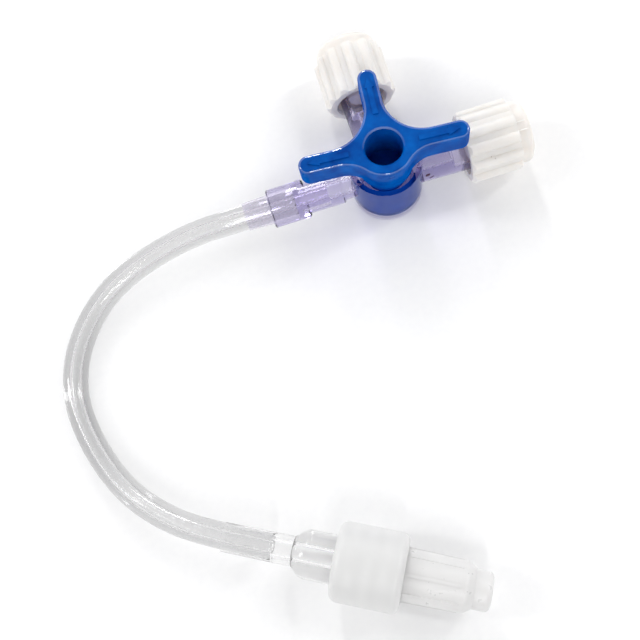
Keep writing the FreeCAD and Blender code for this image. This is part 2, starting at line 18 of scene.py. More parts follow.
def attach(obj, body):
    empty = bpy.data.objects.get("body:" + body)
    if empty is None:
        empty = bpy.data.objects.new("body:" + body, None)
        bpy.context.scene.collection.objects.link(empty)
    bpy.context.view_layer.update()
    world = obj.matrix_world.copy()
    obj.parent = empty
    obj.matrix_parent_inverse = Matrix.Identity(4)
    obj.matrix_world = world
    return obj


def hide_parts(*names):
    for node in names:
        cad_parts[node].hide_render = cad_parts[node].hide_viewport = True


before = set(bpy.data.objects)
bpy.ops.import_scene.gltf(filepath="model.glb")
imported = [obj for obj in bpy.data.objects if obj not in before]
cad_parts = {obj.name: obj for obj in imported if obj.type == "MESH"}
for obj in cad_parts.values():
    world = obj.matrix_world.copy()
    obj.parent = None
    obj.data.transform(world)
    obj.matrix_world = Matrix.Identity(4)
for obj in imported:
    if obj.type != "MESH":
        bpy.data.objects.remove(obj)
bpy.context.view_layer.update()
print("nodes:", sorted(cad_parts))

MM = 0.001
AXIS_HEIGHT = 5.95  # of the ports above the table, in millimetres
scene = bpy.context.scene

# %% [markdown]
# ## The camera
#
# A product shot like this is taken from nearly above, with the camera rolled
# so that the tube swings out to the left. A camera can be aimed with a Track
# To constraint, or by typing its rotation. Here its three axes are worked out
# from an azimuth, an elevation and a roll, because those are the numbers that
# describe a viewpoint round an object.

# %% Camera
AZIMUTH, ELEVATION, ROLL = (math.radians(a) for a in (4.61, 74.74, -21.74))
TARGET = Vector((-17.07, -18.33, 0.0)) * MM
DISTANCE = 162.29 * MM
FOCAL_LENGTH, SENSOR, NEAREST = 56.7169, 36.0, 5 * MM

backward = Vector((
    math.sin(AZIMUTH) * math.cos(ELEVATION),
    -math.cos(AZIMUTH) * math.cos(ELEVATION),
    math.sin(ELEVATION),
))
level_right = Vector((math.cos(AZIMUTH), math.sin(AZIMUTH), 0.0))
level_up = backward.cross(level_right)
picture_right = level_right * math.cos(ROLL) + level_up * math.sin(ROLL)
picture_up = level_up * math.cos(ROLL) - level_right * math.sin(ROLL)


def placed(name, data):
    piece = bpy.data.objects.new(name, data)
    scene.collection.objects.link(piece)
    return piece


lens = bpy.data.cameras.new("view_camera")
lens.lens = FOCAL_LENGTH
lens.sensor_width = lens.sensor_height = SENSOR
lens.clip_start = NEAREST
camera = placed("view_camera", lens)
turn = Matrix((picture_right, picture_up, backward)).transposed()
camera.matrix_world = Matrix.Translation(TARGET + backward * DISTANCE) @ turn.to_4x4()
scene.camera = camera
print("camera at", [round(c, 4) for c in camera.matrix_world.translation])

# %% [markdown]
# ## The tube's line
#
# The tube is flexible, most likely PVC, and 4 mm across. It is pushed into the
# adaptor, sinks to the table in one open curve and rises again into the
# connector. A NURBS spline suits it: a few control points pull one smooth line
# round, where a polyline would kink. Order 3 keeps the line near its points,
# and the endpoint option makes it start and end exactly on the first and last
# of them.

# %% Tube route
TUBE_ROUTE = [
    (-15.20, 0.00, 5.95), (-24.50, 0.00, 5.95), (-33.90, 0.10, 5.60),
    (-45.40, -2.40, 3.90), (-52.70, -7.10, 2.20), (-57.30, -14.50, 2.00),
    (-58.10, -23.10, 2.00), (-54.40, -34.50, 2.90), (-48.10, -42.10, 5.00),
    (-40.8538, -46.8721, 5.87), (-33.2534, -50.8963, 5.87),
]
TUBE_RADIUS, TUBE_BORE = 2.0 * MM, 0.7 * MM
LINE_STEPS = 22


def settled_mesh(holder):
    # A plain mesh of the object as its curve, modifiers or nodes leave it.
    bpy.context.view_layer.update()
    evaluated = holder.evaluated_get(bpy.context.evaluated_depsgraph_get())
    return bpy.data.meshes.new_from_object(evaluated)


def smooth_line(name, route):
    curve = bpy.data.curves.new(name, "CURVE")
    curve.dimensions = "3D"
    curve.resolution_u = LINE_STEPS
    spline = curve.splines.new("NURBS")
    spline.points.add(len(route) - 1)
    for point, place in zip(spline.points, route):
        point.co = (*(c * MM for c in place), 1.0)
    spline.order_u = 3
    spline.use_endpoint_u = True
    holder = placed(name, curve)
    drawn = settled_mesh(holder)
    points = [v.co.copy() for v in drawn.vertices]
    bpy.data.meshes.remove(drawn)
    bpy.data.objects.remove(holder)
    return points


tube_line = smooth_line("tube_line", TUBE_ROUTE)
tube_length = sum((b - a).length for a, b in zip(tube_line, tube_line[1:]))
print("tube line:", len(tube_line), "points,", round(tube_length / MM, 1), "mm")

# %% [markdown]
# ## The tube's wall
#
# Real tubing has a wall and a bore, and the bore is what draws the pair of
# bright lines down its middle. A bevelled curve would be a solid rod, so the
# wall is swept by hand: at every point of the line stand two rings, one for
# the outside and one for the bore, and the rings are joined along the line and
# closed at both ends. Each ring is turned only as far as the line turns, so
# nothing twists. The UV map runs along and around the tube, for the faint
# drawn streaks that the extruder leaves.

# %% Tube mesh
AROUND = 40
MAP_LENGTH = 10 * MM  # of tube for each unit of its UV map


def ring_frames(points):
    # The two directions across the line at each point, turned as little as can be.
    forward = (points[1] - points[0]).normalized()
    side = forward.cross(Vector((0, 0, 1))).normalized()
    frames = []
    for index, point in enumerate(points):
        before = points[max(index - 1, 0)]
        after = points[min(index + 1, len(points) - 1)]
        ahead = (after - before).normalized()
        side = (side - ahead * side.dot(ahead)).normalized()
        frames.append((point, side, ahead.cross(side)))
    return frames


def hollow_sweep(name, points, outer, inner):
    places, travelled = [], [0.0]
    for a, b in zip(points, points[1:]):
        travelled.append(travelled[-1] + (b - a).length)
    for point, side, up in ring_frames(points):
        for radius in (outer, inner):
            for step in range(AROUND):
                angle = math.tau * step / AROUND
                outward = side * math.cos(angle) + up * math.sin(angle)
                places.append(point + outward * radius)
    faces, corners, flat = [], [], set()

    def quad(spots):
        for ring, wall, step in spots:
            corners.append((travelled[ring] / MAP_LENGTH, step / AROUND))
        faces.append([(ring * 2 + wall) * AROUND + step % AROUND for ring, wall, step in spots])

    last = len(points) - 1
    for here in range(AROUND):
        there = here + 1
        for ring in range(last):
            ahead = ring + 1
            quad([(ring, 0, here), (ring, 0, there), (ahead, 0, there), (ahead, 0, here)])
            quad([(ring, 1, here), (ahead, 1, here), (ahead, 1, there), (ring, 1, there)])
        flat.update((len(faces), len(faces) + 1))
        quad([(0, 0, here), (0, 1, here), (0, 1, there), (0, 0, there)])
        quad([(last, 0, here), (last, 0, there), (last, 1, there), (last, 1, here)])
    mesh = bpy.data.meshes.new(name)
    mesh.from_pydata(places, [], faces)
    uv = mesh.uv_layers.new(name="along_around")
    for item, value in zip(uv.data, corners):
        item.uv = value
    mesh.update()
    for face in mesh.polygons:
        face.use_smooth = face.index not in flat
    return placed(name, mesh)


tube = hollow_sweep("clear_tube", tube_line, TUBE_RADIUS, TUBE_BORE)
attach(tube, "valve")
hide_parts("extension_tube")
shell = bmesh.new()
shell.from_mesh(tube.data)
volume = shell.calc_volume(signed=True) / MM ** 3
print("tube faces:", len(tube.data.polygons), "volume in mm3:", round(volume, 1))
shell.free()

# %% [markdown]
# ## Building a finish
#
# Every plastic here is one Principled shader with a few noise textures behind
# its colour, roughness and normal. Moulded plastic is never perfectly even:
# the melt leaves faint flow shades, the mould's polish varies, and thin walls
# sink a little. Short helpers make the same kinds of node for each finish, and
# all of them read Object coordinates, so the pattern is fixed to the part.

# %% Finish helpers
def new_finish(name):
    finish = bpy.data.materials.new(name)
    finish.use_nodes = True
    return finish, finish.node_tree, finish.node_tree.nodes["Principled BSDF"]


def grain(tree, scale, detail=2.0, stretch=(1.0, 1.0, 1.0), source="Object"):
    where = tree.nodes.new("ShaderNodeTexCoord")
    placing = tree.nodes.new("ShaderNodeMapping")
    placing.inputs["Scale"].default_value = stretch
    noise = tree.nodes.new("ShaderNodeTexNoise")
    noise.inputs["Scale"].default_value = scale
    noise.inputs["Detail"].default_value = detail
    tree.links.new(where.outputs[source], placing.inputs["Vector"])
    tree.links.new(placing.outputs["Vector"], noise.inputs["Vector"])
    return noise.outputs["Fac"]


def spread(tree, factor, low, high, start=0.3, end=0.7):
    # Noise mostly lies between 0.3 and 0.7, so that range is stretched.
    node = tree.nodes.new("ShaderNodeMapRange")
    limits = {"From Min": start, "From Max": end, "To Min": low, "To Max": high}
    for name, value in limits.items():
        node.inputs[name].default_value = value
    tree.links.new(factor, node.inputs["Value"])
    return node.outputs["Result"]


def shades(tree, factor, first, second):
    mix = tree.nodes.new("ShaderNodeMix")
    mix.data_type = "RGBA"
    mix.inputs["A"].default_value = (*first, 1.0)
    mix.inputs["B"].default_value = (*second, 1.0)
    tree.links.new(factor, mix.inputs["Factor"])
    return mix.outputs["Result"]


def bumps(tree, shader, *layers):
    # Each layer is a height pattern and how tall it stands, in millimetres.
    normal = None
    for pattern, height in layers:
        bump = tree.nodes.new("ShaderNodeBump")
        bump.inputs["Strength"].default_value = 1.0
        bump.inputs["Distance"].default_value = height * MM
        tree.links.new(pattern, bump.inputs["Height"])
        if normal is not None:
            tree.links.new(normal, bump.inputs["Normal"])
        normal = bump.outputs["Normal"]
    tree.links.new(normal, shader.inputs["Normal"])
    tree.links.new(normal, shader.inputs["Coat Normal"])


def dress(node, finish):
    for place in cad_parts[node].material_slots:
        place.material = finish
    print(node, "gets", finish.name)


# %% [markdown]
# ## Blue handle
#
# The handle is a hard, glossy plastic, perhaps polycarbonate, in a saturated
# blue. Its top is slightly orange-peeled, which breaks the lamps' reflections
# along the rounded edges into short bright dashes, and the melt's flow leaves
# the blue a shade deeper in places. The skin that forms against the polished
# mould is smooth, so a clear coat is laid over the blue. The plain specular
# lobe could give the gloss as well, but a coat has its own weight, roughness
# and index. It can be sharp over a matt blue, strong on top and weak on upright
# walls, which would otherwise mirror the pale table and lose their colour.

# %% Blue handle finish
DEEP_BLUE, LIGHT_BLUE = (0.0004, 0.048, 0.29), (0.0004, 0.118, 0.50)


def facing_up(tree):
    # 1 where the surface faces straight up from the part, 0 on an upright wall.
    where = tree.nodes.new("ShaderNodeTexCoord")
    parts = tree.nodes.new("ShaderNodeSeparateXYZ")
    tree.links.new(where.outputs["Normal"], parts.inputs["Vector"])
    return parts.outputs["Z"]


def blue_finish():
    finish, tree, shader = new_finish("glossy_blue")
    cloud = spread(tree, grain(tree, 330.0, 4.0), 0.0, 1.0)
    tree.links.new(shades(tree, cloud, DEEP_BLUE, LIGHT_BLUE), shader.inputs["Base Color"])
    tree.links.new(spread(tree, grain(tree, 900.0), 0.25, 0.4), shader.inputs["Roughness"])
    shader.inputs["IOR"].default_value = 1.5
    shader.inputs["Specular IOR Level"].default_value = 0.0
    upward = spread(tree, facing_up(tree), 0.12, 1.0, 0.3, 0.75)
    tree.links.new(upward, shader.inputs["Coat Weight"])
    shader.inputs["Coat IOR"].default_value = 2.0
    shader.inputs["Coat Roughness"].default_value = 0.06
    bumps(tree, shader, (grain(tree, 600.0, 3.0), 0.03), (grain(tree, 1900.0, 1.0), 0.014))
    return finish


blue = blue_finish()
dress("handle_core", blue)

# %% [markdown]
# ### The greased plug
#
# Silicone grease usually fills the hair-wide gap between the blue plug and the
# clear barrel and wets both, so through the barrel the plug looks solid and
# unbroken. Modelled as air, the gap would shine like a mirror. So a thin
# blue sleeve rides with the handle and reaches two hundredths of a millimetre
# into the wall. It could be a plain cylinder, but the plug has channels, so its
# quads are left out where the three channels leave.

# %% Film on the plug
FILM_OUTER, FILM_INNER = 4.37, 4.30
FILM_BOTTOM, FILM_TOP = 1.25, 10.15
CHANNEL_RADIUS, CHANNEL_MARGIN = 1.05, 0.12
CHANNEL_DIRECTIONS = (-4.5, 85.5, 175.5)
FILM_STEPS, FILM_ROWS = 144, 48


def near_channel(angle, height):
    for heading in CHANNEL_DIRECTIONS:
        off = (angle - heading + 180.0) % 360.0 - 180.0
        away = math.hypot(FILM_OUTER * math.sin(math.radians(off)), height - AXIS_HEIGHT)
        if abs(off) < 90.0 and away < CHANNEL_RADIUS + CHANNEL_MARGIN:
            return True
    return False


def film_height(row):
    return FILM_BOTTOM + (FILM_TOP - FILM_BOTTOM) * row / FILM_ROWS


def plug_film():
    mesh = bpy.data.meshes.new("plug_film")
    shape = bmesh.new()
    rows = []
    for row in range(FILM_ROWS + 1):
        ring = []
        for angle in (math.tau * step / FILM_STEPS for step in range(FILM_STEPS)):
            spot = FILM_OUTER * math.cos(angle), FILM_OUTER * math.sin(angle), film_height(row)
            ring.append(shape.verts.new([c * MM for c in spot]))
        rows.append(ring)
    for row, (low, high) in enumerate(zip(rows, rows[1:])):
        for step in range(FILM_STEPS):
            if near_channel(360.0 * (step + 0.5) / FILM_STEPS, film_height(row + 0.5)):
                continue
            after = (step + 1) % FILM_STEPS
            face = shape.faces.new([low[step], low[after], high[after], high[step]])
            face.smooth = True
    bmesh.ops.delete(shape, geom=[v for v in shape.verts if not v.link_faces], context="VERTS")
    shape.to_mesh(mesh)
    shape.free()
    piece = placed("plug_film", mesh)
    wall = piece.modifiers.new("wall", "SOLIDIFY")
    wall.thickness = (FILM_OUTER - FILM_INNER) * MM
    wall.offset = -1.0
    solid = settled_mesh(piece)
    piece.modifiers.clear()
    piece.data = solid
    bpy.data.meshes.remove(mesh)
    return piece


def film_finish():
    finish, tree, shader = new_finish("greased_blue")
    cloud = spread(tree, grain(tree, 400.0, 2.0), 0.0, 1.0)
    deep, light = (0.002, 0.065, 0.36), (0.003, 0.085, 0.44)
    tree.links.new(shades(tree, cloud, deep, light), shader.inputs["Base Color"])
    tree.links.new(spread(tree, grain(tree, 900.0), 0.4, 0.6), shader.inputs["Roughness"])
    shader.inputs["Specular IOR Level"].default_value = 0.0
    bumps(tree, shader, (grain(tree, 600.0, 2.0), 0.01))
    return finish


film = plug_film()
film.data.materials.append(film_finish())
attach(film, "handle")
print("film on the plug:", len(film.data.polygons), "faces")

# %% [markdown]
# ## White caps
#
# The caps look like polypropylene: warm white, satin and slightly waxy, so
# light enters a little way before it comes back. A plain white would look like
# chalk. Subsurface scattering gives the waxiness and softens the grooves
# between the ribs.

# %% White cap finish
WAX_DEPTH, WAX_REACH = 2.0 * MM, (1.0, 0.9, 0.8)


def cap_finish():
    finish, tree, shader = new_finish("satin_white")
    cloud = spread(tree, grain(tree, 220.0, 3.0), 0.0, 1.0)
    warm, pale = (0.77, 0.735, 0.70), (0.84, 0.815, 0.785)
    tree.links.new(shades(tree, cloud, warm, pale), shader.inputs["Base Color"])
    tree.links.new(spread(tree, grain(tree, 800.0), 0.32, 0.46), shader.inputs["Roughness"])
    shader.inputs["IOR"].default_value = 1.49
    shader.inputs["Subsurface Weight"].default_value = 0.7
    shader.inputs["Subsurface Radius"].default_value = WAX_REACH
    shader.inputs["Subsurface Scale"].default_value = WAX_DEPTH
    bumps(tree, shader, (grain(tree, 420.0, 2.0), 0.02), (grain(tree, 3000.0, 1.0), 0.003))
    return finish


white = cap_finish()
dress("line_port_cap", white)
dress("side_port_cap", white)

# %% [markdown]
# ## Clear violet mouldings
#
# The barrel, its ports and the tube adaptor are clear plastic with a trace of
# violet dye. Full transmission makes the walls clear, and an absorbing volume
# deepens the violet where the eye looks along a wall, at the rims and the base.
# A clear part could cast a coloured shadow by caustics, but those are noisy, so
# light on its way to the table simply goes through with a small loss.

# %% Depth and lamp light
def combined(tree, operation, first, second):
    # One Math node on two values.
    node = tree.nodes.new("ShaderNodeMath")
    node.operation = operation
    tree.links.new(first, node.inputs[0])
    tree.links.new(second, node.inputs[1])
    return node.outputs[0]


def output_of(tree):
    return next(n for n in tree.nodes if n.type == "OUTPUT_MATERIAL")


def mixed(tree, factor, first, second):
    # Sends a mix of two shaders to the material's surface.
    mix = tree.nodes.new("ShaderNodeMixShader")
    tree.links.new(factor, mix.inputs["Fac"])
    tree.links.new(first, mix.inputs[1])
    tree.links.new(second, mix.inputs[2])
    tree.links.new(mix.outputs["Shader"], output_of(tree).inputs["Surface"])


def tinted_depth(tree, colour, density):
    # Light that travels further inside the plastic takes on more of its tint.
    absorb = tree.nodes.new("ShaderNodeVolumeAbsorption")
    absorb.inputs["Color"].default_value = (*colour, 1.0)
    absorb.inputs["Density"].default_value = density
    tree.links.new(absorb.outputs["Volume"], output_of(tree).inputs["Volume"])


def lamps_pass(tree, tint):
    # Clear plastic throws hardly any shadow. Rays that carry lamp light to other
    # surfaces go straight through, losing a little at every skin they cross.
    path = tree.nodes.new("ShaderNodeLightPath").outputs
    passing = combined(tree, "MAXIMUM", path["Is Shadow Ray"], path["Is Diffuse Ray"])
    open_way = tree.nodes.new("ShaderNodeBsdfTransparent")
    open_way.inputs["Color"].default_value = (*tint, 1.0)
    plastic = tree.nodes["Principled BSDF"].outputs["BSDF"]
    mixed(tree, passing, plastic, open_way.outputs["BSDF"])


# %% [markdown]
# ### The violet plastic
#
# One function makes every clear finish here: a faintly cloudy tint at the
# surface, a depth colour with its density, the polish, the height of the waves
# in the skin and the index of refraction. The barrel's index is lower than the
# real plastic's, so that its wall mirrors less of the pale table and the blue
# plug behind it stays as deep as it looks to the eye.

# %% Violet clear finish
def clear_finish(name, tint, depth, density, rough, wave, index):
    finish, tree, shader = new_finish(name)
    cloud = spread(tree, grain(tree, 300.0, 2.0), 0.0, 1.0)
    paler = tuple(min(1.0, c * 1.04) for c in tint)
    tree.links.new(shades(tree, cloud, tint, paler), shader.inputs["Base Color"])
    polish = spread(tree, grain(tree, 700.0), rough * 0.5, rough * 1.5)
    tree.links.new(polish, shader.inputs["Roughness"])
    shader.inputs["IOR"].default_value = index
    shader.inputs["Transmission Weight"].default_value = 1.0
    bumps(tree, shader, (grain(tree, 380.0, 2.0), wave))
    tinted_depth(tree, depth, density)
    lamps_pass(tree, (0.97, 0.97, 0.97))
    return finish


dress("stopcock_body", clear_finish(
    "clear_violet", tint=(0.965, 0.955, 0.985), depth=(0.40, 0.335, 0.66), density=215.0,
    rough=0.02, wave=0.0003, index=1.24))
dress("tube_adaptor", clear_finish(
    "clear_violet_adaptor", tint=(0.93, 0.915, 0.965), depth=(0.40, 0.33, 0.65), density=235.0,
    rough=0.02, wave=0.0002, index=1.42))

# %% [markdown]
# ## Clear connector
#
# The male connector at the far end is clear without a tint and a little less
# polished. The same function serves it, with a far lower density.

# %% Connector finish
dress("male_connector", clear_finish(
    "clear_connector", tint=(0.985, 0.985, 0.985), depth=(0.6, 0.595, 0.59), density=35.0,
    rough=0.05, wave=0.0003, index=1.42))

# %% [markdown]
# ## Milky collar and tip cap
#
# The lock collar and the tip cap look like undyed polypropylene, which is
# milky: it lets light through but no image. Full transmission with a rough skin
# would look like frosted glass. A little transmission and some scattering under
# a pale, rough skin look like milk. The thread inside the collar would show
# faintly through its wall. Here its shade is painted into the collar's colour
# instead, as soft darker stripes.

# %% Milky finish
HEADING = math.radians(-27.9)  # the connector's axis on the table
THREAD_PITCH = 2.5 * MM


def painted_thread_shade(tree, pitch):
    # Painted shade of the thread inside: soft darker stripes across the connector's axis, one for
    # each turn.
    where = tree.nodes.new("ShaderNodeTexCoord")
    placing = tree.nodes.new("ShaderNodeMapping")
    placing.inputs["Rotation"].default_value = (0.0, 0.0, -HEADING)
    wave = tree.nodes.new("ShaderNodeTexWave")
    # At scale 1 a Wave texture repeats every tau / 20 units.
    wave.inputs["Scale"].default_value = math.tau / (20.0 * pitch)
    wave.inputs["Distortion"].default_value = 0.6
    tree.links.new(where.outputs["Object"], placing.inputs["Vector"])
    tree.links.new(placing.outputs["Vector"], wave.inputs["Vector"])
    return wave.outputs["Fac"]


def milky_finish(name, tint, clearness, rough, thread_shade_pitch=None):
    finish, tree, shader = new_finish(name)
    cloud = spread(tree, grain(tree, 260.0, 3.0), 0.0, 1.0)
    # The thread's painted shade darkens the colour in stripes.
    if thread_shade_pitch:
        cloud = combined(tree, "MULTIPLY", cloud, painted_thread_shade(tree, thread_shade_pitch))
    paler = tuple(min(1.0, c * 1.05) for c in tint)
    tree.links.new(shades(tree, cloud, tint, paler), shader.inputs["Base Color"])
    polish = spread(tree, grain(tree, 900.0), rough * 0.85, rough * 1.2)
    tree.links.new(polish, shader.inputs["Roughness"])
    shader.inputs["IOR"].default_value = 1.49
    shader.inputs["Transmission Weight"].default_value = clearness
    shader.inputs["Subsurface Weight"].default_value = 0.3
    shader.inputs["Subsurface Radius"].default_value = (1.0, 1.0, 1.0)
    shader.inputs["Subsurface Scale"].default_value = 1.5 * MM
    bumps(tree, shader, (grain(tree, 500.0, 2.0), 0.015), (grain(tree, 2600.0, 1.0), 0.003))
    return finish


milky = milky_finish(
    "milky_collar", tint=(0.80, 0.80, 0.795), clearness=0.15, rough=0.34, thread_shade_pitch=THREAD_PITCH)
dress("lock_collar", milky)
dress("tip_cap", milky_finish(
    "milky_tip_cap", tint=(0.79, 0.785, 0.78), clearness=0.12, rough=0.32))

# %% [markdown]
# ## Tube finish
#
# A drawn tube is clear with fine streaks along it. Here they come from a noise
# that is stretched along the tube's own UV map, so they follow every bend. On
# Object coordinates they would run straight through the curve.

# %% Tube finish
def tube_finish():
    finish, tree, shader = new_finish("clear_drawn_tube")
    streaks = grain(tree, 5.0, 3.0, (0.25, 9.0, 1.0), source="UV")
    hazy, clear = (0.985, 0.985, 0.985), (1.0, 1.0, 1.0)
    tree.links.new(shades(tree, streaks, hazy, clear), shader.inputs["Base Color"])
    tree.links.new(spread(tree, streaks, 0.02, 0.08), shader.inputs["Roughness"])
    shader.inputs["IOR"].default_value = 1.4
    shader.inputs["Transmission Weight"].default_value = 1.0
    bumps(tree, shader, (streaks, 0.0001))
    tinted_depth(tree, (0.55, 0.55, 0.553), 230.0)
    lamps_pass(tree, (0.96, 0.96, 0.96))
    return finish


tube.data.materials.append(tube_finish())
print("clear_tube gets", tube.data.materials[0].name)

# %% [markdown]
# ## Threads
#
# A luer lock holds by a short thread inside its collar or cap. A thread is a
# ridge that follows a helix, so Geometry Nodes build it: a spiral curve with a
# small round section swept along it. One tree serves all three places, and only
# its named inputs differ. The ridge stands shallow, so that the port's lugs
# pass it when a cap is pulled.

# %% Thread tree
def thread_tree():
    tree = bpy.data.node_groups.new("thread_ridge", "GeometryNodeTree")
    inputs = {}
    for name in ("Turns", "Pitch", "Helix Radius", "Ridge Radius", "Finish"):
        kind = "NodeSocketMaterial" if name == "Finish" else "NodeSocketFloat"
        socket = tree.interface.new_socket(name, in_out="INPUT", socket_type=kind)
        inputs[name] = socket.identifier
    tree.interface.new_socket("Geometry", in_out="OUTPUT", socket_type="NodeSocketGeometry")
    nodes, links = tree.nodes, tree.links
    given = nodes.new("NodeGroupInput")
    spiral = nodes.new("GeometryNodeCurveSpiral")
    spiral.inputs["Resolution"].default_value = 40
    rise = nodes.new("ShaderNodeMath")
    rise.operation = "MULTIPLY"
    links.new(given.outputs["Turns"], rise.inputs[0])
    links.new(given.outputs["Pitch"], rise.inputs[1])
    links.new(given.outputs["Turns"], spiral.inputs["Rotations"])
    links.new(given.outputs["Helix Radius"], spiral.inputs["Start Radius"])
    links.new(given.outputs["Helix Radius"], spiral.inputs["End Radius"])
    links.new(rise.outputs[0], spiral.inputs["Height"])
    section = nodes.new("GeometryNodeCurvePrimitiveCircle")
    section.inputs["Resolution"].default_value = 10
    links.new(given.outputs["Ridge Radius"], section.inputs["Radius"])
    sweep = nodes.new("GeometryNodeCurveToMesh")
    sweep.inputs["Fill Caps"].default_value = True
    links.new(spiral.outputs["Curve"], sweep.inputs["Curve"])
    links.new(section.outputs["Curve"], sweep.inputs["Profile Curve"])
    smooth = nodes.new("GeometryNodeSetShadeSmooth")
    real = nodes.new("GeometryNodeRealizeInstances")
    coat = nodes.new("GeometryNodeSetMaterial")
    out = nodes.new("NodeGroupOutput")
    links.new(sweep.outputs["Mesh"], smooth.inputs["Geometry"])
    links.new(smooth.outputs["Geometry"], real.inputs["Geometry"])
    links.new(real.outputs["Geometry"], coat.inputs["Geometry"])
    links.new(given.outputs["Finish"], coat.inputs["Material"])
    links.new(coat.outputs["Geometry"], out.inputs["Geometry"])
    return tree, inputs


THREADS, THREAD_INPUTS = thread_tree()


def made_by_nodes(name, tree, inputs, values, place):
    # Evaluates a node tree once and keeps the result as a plain mesh in place.
    seed = placed(name + "_seed", bpy.data.meshes.new(name + "_seed"))
    modifier = seed.modifiers.new("build", "NODES")
    modifier.node_group = tree
    for label, value in values.items():
        modifier[inputs[label]] = value
    mesh = settled_mesh(seed)
    mesh.name = name
    mesh.transform(place)
    bpy.data.objects.remove(seed)
    return placed(name, mesh)


def along_axis(start, direction):
    # A placement whose Z axis runs along the direction from the start point.
    turned = Vector(direction).to_track_quat("Z", "Y").to_matrix().to_4x4()
    return Matrix.Translation(start) @ turned


# %% [markdown]
# ### Where the threads go
#
# The two caps carry theirs just behind the mouth. The collar's begins well past
# its inner lip and ends about a millimetre short of its open end.

# %% Threads in place
LINE_AXIS = Vector((math.cos(HEADING), math.sin(HEADING), 0.0))
CONNECTOR_MOUTH = Vector((-39.97, -47.34, 5.87)) * MM
COLLAR_THREAD_START = 20.9 * MM
HELIX_RADIUS, RIDGE_RADIUS = 4.2 * MM, 0.12 * MM

PLACES = [
    # name, body, slot, finish, start, axis, turns
    ("line_cap_thread", "line_cap", "white_cap", white,
     Vector((13.25, 0, AXIS_HEIGHT)) * MM, Vector((1, 0, 0)), 1.6),
    ("side_cap_thread", "side_cap", "white_cap", white,
     Vector((0, 13.6, AXIS_HEIGHT)) * MM, Vector((0, 1, 0)), 1.6),
    ("collar_thread", "collar", "milky_collar", milky,
     CONNECTOR_MOUTH + LINE_AXIS * COLLAR_THREAD_START, LINE_AXIS, 2.1),
]
for name, body, slot, finish, start, axis, turns in PLACES:
    sizes = {
        "Turns": turns, "Pitch": THREAD_PITCH, "Helix Radius": HELIX_RADIUS,
        "Ridge Radius": RIDGE_RADIUS, "Finish": finish,
    }
    ridge = made_by_nodes(name, THREADS, THREAD_INPUTS, sizes, along_axis(start, axis))
    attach(ridge, body)
    print(name, len(ridge.data.polygons), "faces")

# %% [markdown]
# ## Marks from the mould
#
# Moulding leaves small traces: the scar where the melt entered, a ring from an
# ejector pin and witness lines. Beside them sit two small dark maroon flecks at
# the root of a port.
# Each is a low bead, ring or ridge that sits on the surface. A bump map could
# paint them, but real forms also catch the light at the rim. They stand on the
# surface by a few hundredths of a millimetre, so they stay small in the shape.

# %% Helpers for the marks
def keep_mark(name, shape, place, body, slot, finish):
    mesh = bpy.data.meshes.new(name)
    bmesh.ops.recalc_face_normals(shape, faces=shape.faces)
    shape.to_mesh(mesh)
    shape.free()
    mesh.transform(place)
    for face in mesh.polygons:
        face.use_smooth = True
    mesh.materials.append(finish)
    piece = placed(name, mesh)
    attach(piece, body)
    print(name, len(mesh.polygons), "faces")


def bead(name, spot, outward, size, spin, *rest):
    # A squashed ball, half sunk in the surface. Spot and size are in millimetres.
    shape = bmesh.new()
    bmesh.ops.create_uvsphere(shape, u_segments=20, v_segments=12, radius=MM)
    squash = Matrix.Rotation(spin, 4, "Z") @ Matrix.Diagonal((*size, 1.0))
    bmesh.ops.transform(shape, matrix=squash, verts=shape.verts)
    keep_mark(name, shape, along_axis(Vector(spot) * MM, outward), *rest)


def ring(name, spot, outward, radius, thickness, *rest):
    # A thin ring, half sunk in the surface.
    shape, rounds, sides = bmesh.new(), 32, 8
    loops = []
    for turn in (math.tau * step / rounds for step in range(rounds)):
        loop = []
        for lean in (math.tau * side / sides for side in range(sides)):
            reach = radius + thickness * math.cos(lean)
            spoke = (reach * math.cos(turn), reach * math.sin(turn), thickness * math.sin(lean))
            loop.append(shape.verts.new(Vector(spoke) * MM))
        loops.append(loop)
    for step in range(rounds):
        here, there = loops[step], loops[(step + 1) % rounds]
        for side in range(sides):
            after = (side + 1) % sides
            shape.faces.new([here[side], there[side], there[after], here[after]])
    keep_mark(name, shape, along_axis(Vector(spot) * MM, outward), *rest)


def flat_finish(name, first, second, rough):
    finish, tree, shader = new_finish(name)
    cloud = spread(tree, grain(tree, 2500.0, 2.0), 0.0, 1.0)
    tree.links.new(shades(tree, cloud, first, second), shader.inputs["Base Color"])
    polish = spread(tree, grain(tree, 3000.0), rough * 0.8, rough * 1.2)
    tree.links.new(polish, shader.inputs["Roughness"])
    return finish


# %% [markdown]
# ### Where the marks are
#
# Two dark maroon flecks sit on the clear body at the root of one port. An
# ejector pin left its ring on the side of the handle's hub. One cap shows where
# its melt came in and where the parts of its mould met. Places are in
# millimetres, and each direction points out of the skin.

# %% Marks
# A very dark maroon for the two small flecks at the root of a port.
dark_fleck_finish = flat_finish("dark_maroon_fleck", (0.03, 0.004, 0.022), (0.075, 0.012, 0.06), 0.25)
scar = flat_finish("gate_scar", (0.46, 0.42, 0.38), (0.60, 0.56, 0.52), 0.5)
# The witness lines are real ridges, but their colour is much paler than the cap's: a painted
# highlight along each ridge.
witness = flat_finish("witness_line_painted_highlight", (0.92, 0.91, 0.89), (0.96, 0.955, 0.94), 0.3)

for name, spot, outward, size, spin in (
    ("dark_fleck_upper", (6.04, -2.91, 7.16), (-0.03, -0.927, 0.374), (0.42, 0.26, 0.07), 0.3),
    ("dark_fleck_lower", (6.62, -3.10, 6.35), (-0.03, -0.99, 0.12), (0.50, 0.16, 0.06), 0.5),
):
    bead(name, spot, outward, size, spin, "valve", "clear_violet_body", dark_fleck_finish)

ring("ejector_ring", (-0.20, -4.64, 15.01), (-0.032, -1.0, 0.0), 0.36, 0.055,
     "handle", "blue_handle", blue)

